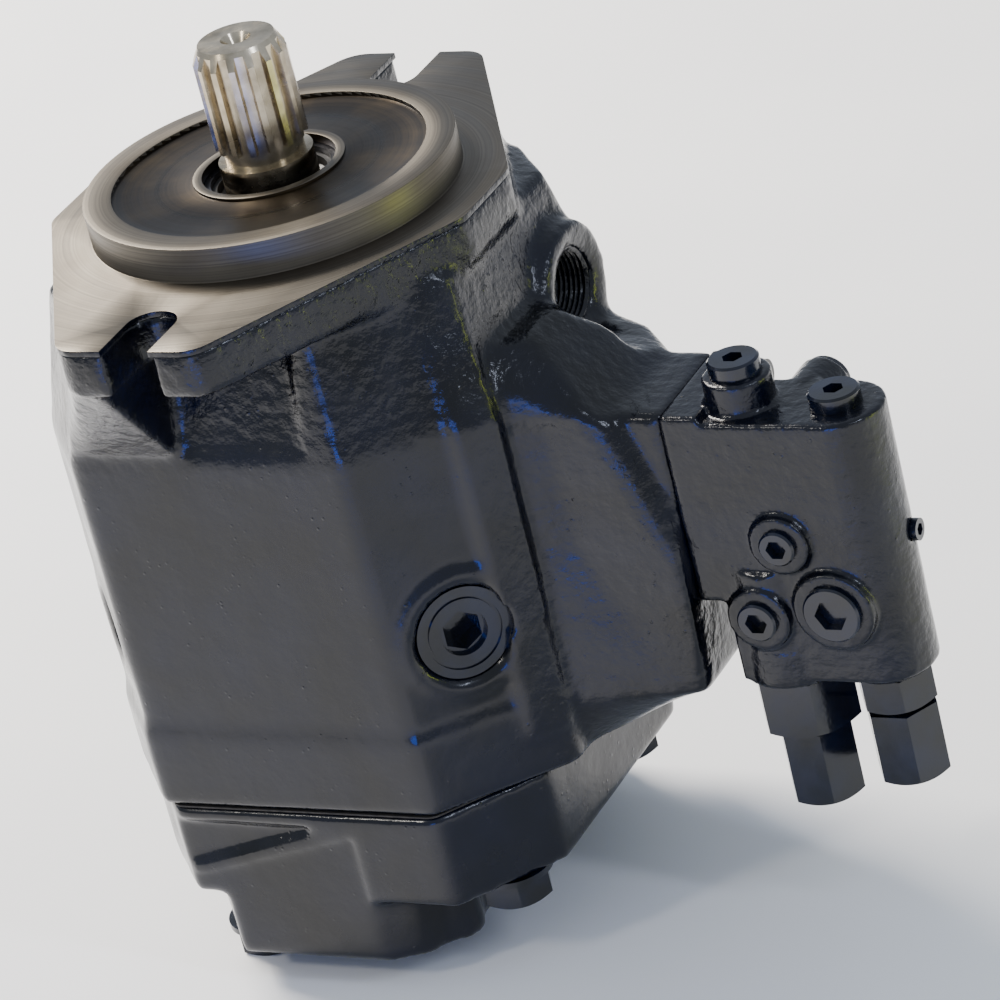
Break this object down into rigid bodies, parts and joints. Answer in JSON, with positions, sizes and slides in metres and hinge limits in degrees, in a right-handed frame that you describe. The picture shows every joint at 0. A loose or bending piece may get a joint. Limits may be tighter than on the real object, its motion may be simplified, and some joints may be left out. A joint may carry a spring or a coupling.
{
  "type": "axial piston pump",
  "caption": "Variable-displacement axial piston pump with splined shaft, two-bolt mounting flange and a two-spool control block on its side.",
  "frame": {"origin": "centre of the mounting flange's face, on the drive shaft's axis, at the root of the centring pilot", "axes": "+Z along the drive shaft out of the drive end; Y through the flange's two bolt slots; +X towards the control block"},
  "size_m": [0.2344, 0.176, 0.2605],
  "materials": {
    "cast_paint": "gloss black enamel over cast iron",
    "fastener_paint": "gloss black enamel over steel",
    "shaft_steel": "hardened and ground",
    "bearing_steel": "ground",
    "cage_steel": "pressed",
    "bronze": "machined",
    "ground_steel": "ground and lapped",
    "spring_steel": "oiled",
    "seal_rubber": "matt",
    "gasket_paper": "matt"
  },
  "bodies": {
    "root": {"pump_housing": "cast_paint", "port_plate": "cast_paint", "control_block": "cast_paint", "port_plate_gasket": "gasket_paper", "port_plate_bolts": "fastener_paint", "dowel_pins": "ground_steel", "shaft_seal": "seal_rubber", "seal_circlip": "spring_steel", "front_bearing_cup": "bearing_steel", "rear_bearing_outer": "bearing_steel", "valve_plate": "bronze", "cradle_shells": "bronze", "stroking_sleeve": "ground_steel", "bias_spring": "spring_steel", "drain_plug": "fastener_paint", "block_seal": "seal_rubber", "block_screws": "fastener_paint", "spool_springs": "spring_steel", "pressure_adjuster_body": "fastener_paint", "flow_adjuster_body": "fastener_paint", "adjusting_screws": "ground_steel", "lock_nuts": "ground_steel", "cap_nuts": "fastener_paint", "block_plugs": "fastener_paint", "face_plugs": "fastener_paint"},
    "rotor": {"drive_shaft": "shaft_steel", "front_bearing_cone": "bearing_steel", "rear_bearing_inner": "bearing_steel", "cylinder_barrel": "bronze", "retaining_ball": "ground_steel", "push_pins": "ground_steel", "spring_washers": "ground_steel", "barrel_snap_ring": "spring_steel", "barrel_spring": "spring_steel"},
    "front_rollers": {"front_bearing_rollers": "cage_steel"},
    "rear_rollers": {"rear_bearing_rollers": "cage_steel"},
    "swash": {"swash_plate": "ground_steel"},
    "retainer": {"retaining_plate": "ground_steel"},
    "stroking_piston_body": {"stroking_piston": "ground_steel"},
    "bias_piston_body": {"bias_piston": "ground_steel"},
    "pressure_spool_body": {"pressure_spool": "ground_steel"},
    "flow_spool_body": {"flow_spool": "ground_steel"},
    "slipper_body_1": {"slipper_1": "bronze"},
    "piston_body_1": {"piston_1": "ground_steel"},
    "slipper_body_2": {"slipper_2": "bronze"},
    "piston_body_2": {"piston_2": "ground_steel"},
    "slipper_body_3": {"slipper_3": "bronze"},
    "piston_body_3": {"piston_3": "ground_steel"},
    "slipper_body_4": {"slipper_4": "bronze"},
    "piston_body_4": {"piston_4": "ground_steel"},
    "slipper_body_5": {"slipper_5": "bronze"},
    "piston_body_5": {"piston_5": "ground_steel"},
    "slipper_body_6": {"slipper_6": "bronze"},
    "piston_body_6": {"piston_6": "ground_steel"},
    "slipper_body_7": {"slipper_7": "bronze"},
    "piston_body_7": {"piston_7": "ground_steel"},
    "slipper_body_8": {"slipper_8": "bronze"},
    "piston_body_8": {"piston_8": "ground_steel"},
    "slipper_body_9": {"slipper_9": "bronze"},
    "piston_body_9": {"piston_9": "ground_steel"}
  },
  "joints": [
    {"name": "shaft_spin", "type": "hinge", "parent": "root", "child": "rotor", "pos_m": [0, 0, 0], "axis": [0, 0, 1], "continuous": true},
    {"name": "front_rollers_roll", "type": "hinge", "parent": "root", "child": "front_rollers", "pos_m": [0, 0, -0.0165], "axis": [0, 0, 1], "continuous": true},
    {"name": "rear_rollers_roll", "type": "hinge", "parent": "root", "child": "rear_rollers", "pos_m": [0, 0, -0.167], "axis": [0, 0, 1], "continuous": true},
    {"name": "swash_tilt", "type": "hinge", "parent": "root", "child": "swash", "pos_m": [0, 0, -0.062], "axis": [0, -1, 0], "range_deg": [0, 14], "stiffness_Nm_per_rad": 8, "springref_deg": -17.19, "deforming": ["bias_spring"]},
    {"name": "retainer_spin", "type": "hinge", "parent": "swash", "child": "retainer", "pos_m": [0, 0, -0.062], "axis": [0.2419, 0, 0.9703], "continuous": true},
    {"name": "stroking_slide", "type": "slide", "parent": "root", "child": "stroking_piston_body", "axis": [0, 0, 1], "range_m": [0, 0.01529]},
    {"name": "bias_slide", "type": "slide", "parent": "root", "child": "bias_piston_body", "axis": [0, 0, 1], "range_m": [-0.01355, 0]},
    {"name": "pressure_spool_slide", "type": "slide", "parent": "root", "child": "pressure_spool_body", "axis": [0, 0, 1], "range_m": [0, 0.0025], "stiffness_N_per_m": 4000, "deforming": ["spool_springs"]},
    {"name": "flow_spool_slide", "type": "slide", "parent": "root", "child": "flow_spool_body", "axis": [0, 0, 1], "range_m": [0, 0.0025], "stiffness_N_per_m": 3000, "deforming": ["spool_springs"]},
    {"name": "slipper_1_turn", "type": "hinge", "parent": "retainer", "child": "slipper_body_1", "pos_m": [0.03299, 0, -0.07023], "axis": [0.2419, 0, 0.9703], "continuous": true},
    {"name": "piston_1_swivel", "type": "hinge", "parent": "slipper_body_1", "child": "piston_body_1", "pos_m": [0.03299, 0, -0.07023], "axis": [0, -1, 0], "range_deg": [-14.01, 0]},
    {"name": "slipper_2_turn", "type": "hinge", "parent": "retainer", "child": "slipper_body_2", "pos_m": [0.02528, 0.02186, -0.0683], "axis": [0.2419, 0, 0.9703], "continuous": true},
    {"name": "piston_2_swivel", "type": "hinge", "parent": "slipper_body_2", "child": "piston_body_2", "pos_m": [0.02528, 0.02186, -0.0683], "axis": [0, -1, 0], "range_deg": [-14.01, 0]},
    {"name": "slipper_3_turn", "type": "hinge", "parent": "retainer", "child": "slipper_body_3", "pos_m": [0.00573, 0.03349, -0.06343], "axis": [0.2419, 0, 0.9703], "continuous": true},
    {"name": "piston_3_swivel", "type": "hinge", "parent": "slipper_body_3", "child": "piston_body_3", "pos_m": [0.00573, 0.03349, -0.06343], "axis": [0, -1, 0], "range_deg": [-14.01, 0]},
    {"name": "slipper_4_turn", "type": "hinge", "parent": "retainer", "child": "slipper_body_4", "pos_m": [-0.0165, 0.02945, -0.05789], "axis": [0.2419, 0, 0.9703], "continuous": true},
    {"name": "piston_4_swivel", "type": "hinge", "parent": "slipper_body_4", "child": "piston_body_4", "pos_m": [-0.0165, 0.02945, -0.05789], "axis": [0, -1, 0], "range_deg": [-14.01, 0]},
    {"name": "slipper_5_turn", "type": "hinge", "parent": "retainer", "child": "slipper_body_5", "pos_m": [-0.03101, 0.01163, -0.05427], "axis": [0.2419, 0, 0.9703], "continuous": true},
    {"name": "piston_5_swivel", "type": "hinge", "parent": "slipper_body_5", "child": "piston_body_5", "pos_m": [-0.03101, 0.01163, -0.05427], "axis": [0, -1, 0], "range_deg": [-14.01, 0]},
    {"name": "slipper_6_turn", "type": "hinge", "parent": "retainer", "child": "slipper_body_6", "pos_m": [-0.03101, -0.01163, -0.05427], "axis": [0.2419, 0, 0.9703], "continuous": true},
    {"name": "piston_6_swivel", "type": "hinge", "parent": "slipper_body_6", "child": "piston_body_6", "pos_m": [-0.03101, -0.01163, -0.05427], "axis": [0, -1, 0], "range_deg": [-14.01, 0]},
    {"name": "slipper_7_turn", "type": "hinge", "parent": "retainer", "child": "slipper_body_7", "pos_m": [-0.0165, -0.02945, -0.05789], "axis": [0.2419, 0, 0.9703], "continuous": true},
    {"name": "piston_7_swivel", "type": "hinge", "parent": "slipper_body_7", "child": "piston_body_7", "pos_m": [-0.0165, -0.02945, -0.05789], "axis": [0, -1, 0], "range_deg": [-14.01, 0]},
    {"name": "slipper_8_turn", "type": "hinge", "parent": "retainer", "child": "slipper_body_8", "pos_m": [0.00573, -0.03349, -0.06343], "axis": [0.2419, 0, 0.9703], "continuous": true},
    {"name": "piston_8_swivel", "type": "hinge", "parent": "slipper_body_8", "child": "piston_body_8", "pos_m": [0.00573, -0.03349, -0.06343], "axis": [0, -1, 0], "range_deg": [-14.01, 0]},
    {"name": "slipper_9_turn", "type": "hinge", "parent": "retainer", "child": "slipper_body_9", "pos_m": [0.02528, -0.02186, -0.0683], "axis": [0.2419, 0, 0.9703], "continuous": true},
    {"name": "piston_9_swivel", "type": "hinge", "parent": "slipper_body_9", "child": "piston_body_9", "pos_m": [0.02528, -0.02186, -0.0683], "axis": [0, -1, 0], "range_deg": [-14.01, 0]}
  ],
  "couplings": [
    {"joint": "front_rollers_roll", "follows": "shaft_spin", "ratio": 0.43},
    {"joint": "rear_rollers_roll", "follows": "shaft_spin", "ratio": 0.41},
    {"joint": "retainer_spin", "follows": "shaft_spin", "ratio": 1},
    {"joint": "stroking_slide", "follows": "swash_tilt", "m_per_rad": 0.062476},
    {"joint": "bias_slide", "follows": "swash_tilt", "m_per_rad": -0.05537},
    {"joint": "slipper_1_turn", "follows": "shaft_spin", "ratio": -1},
    {"joint": "piston_1_swivel", "follows": "swash_tilt", "ratio": -1},
    {"joint": "slipper_2_turn", "follows": "shaft_spin", "ratio": -1},
    {"joint": "piston_2_swivel", "follows": "swash_tilt", "ratio": -1},
    {"joint": "slipper_3_turn", "follows": "shaft_spin", "ratio": -1},
    {"joint": "piston_3_swivel", "follows": "swash_tilt", "ratio": -1},
    {"joint": "slipper_4_turn", "follows": "shaft_spin", "ratio": -1},
    {"joint": "piston_4_swivel", "follows": "swash_tilt", "ratio": -1},
    {"joint": "slipper_5_turn", "follows": "shaft_spin", "ratio": -1},
    {"joint": "piston_5_swivel", "follows": "swash_tilt", "ratio": -1},
    {"joint": "slipper_6_turn", "follows": "shaft_spin", "ratio": -1},
    {"joint": "piston_6_swivel", "follows": "swash_tilt", "ratio": -1},
    {"joint": "slipper_7_turn", "follows": "shaft_spin", "ratio": -1},
    {"joint": "piston_7_swivel", "follows": "swash_tilt", "ratio": -1},
    {"joint": "slipper_8_turn", "follows": "shaft_spin", "ratio": -1},
    {"joint": "piston_8_swivel", "follows": "swash_tilt", "ratio": -1},
    {"joint": "slipper_9_turn", "follows": "shaft_spin", "ratio": -1},
    {"joint": "piston_9_swivel", "follows": "swash_tilt", "ratio": -1}
  ]
}
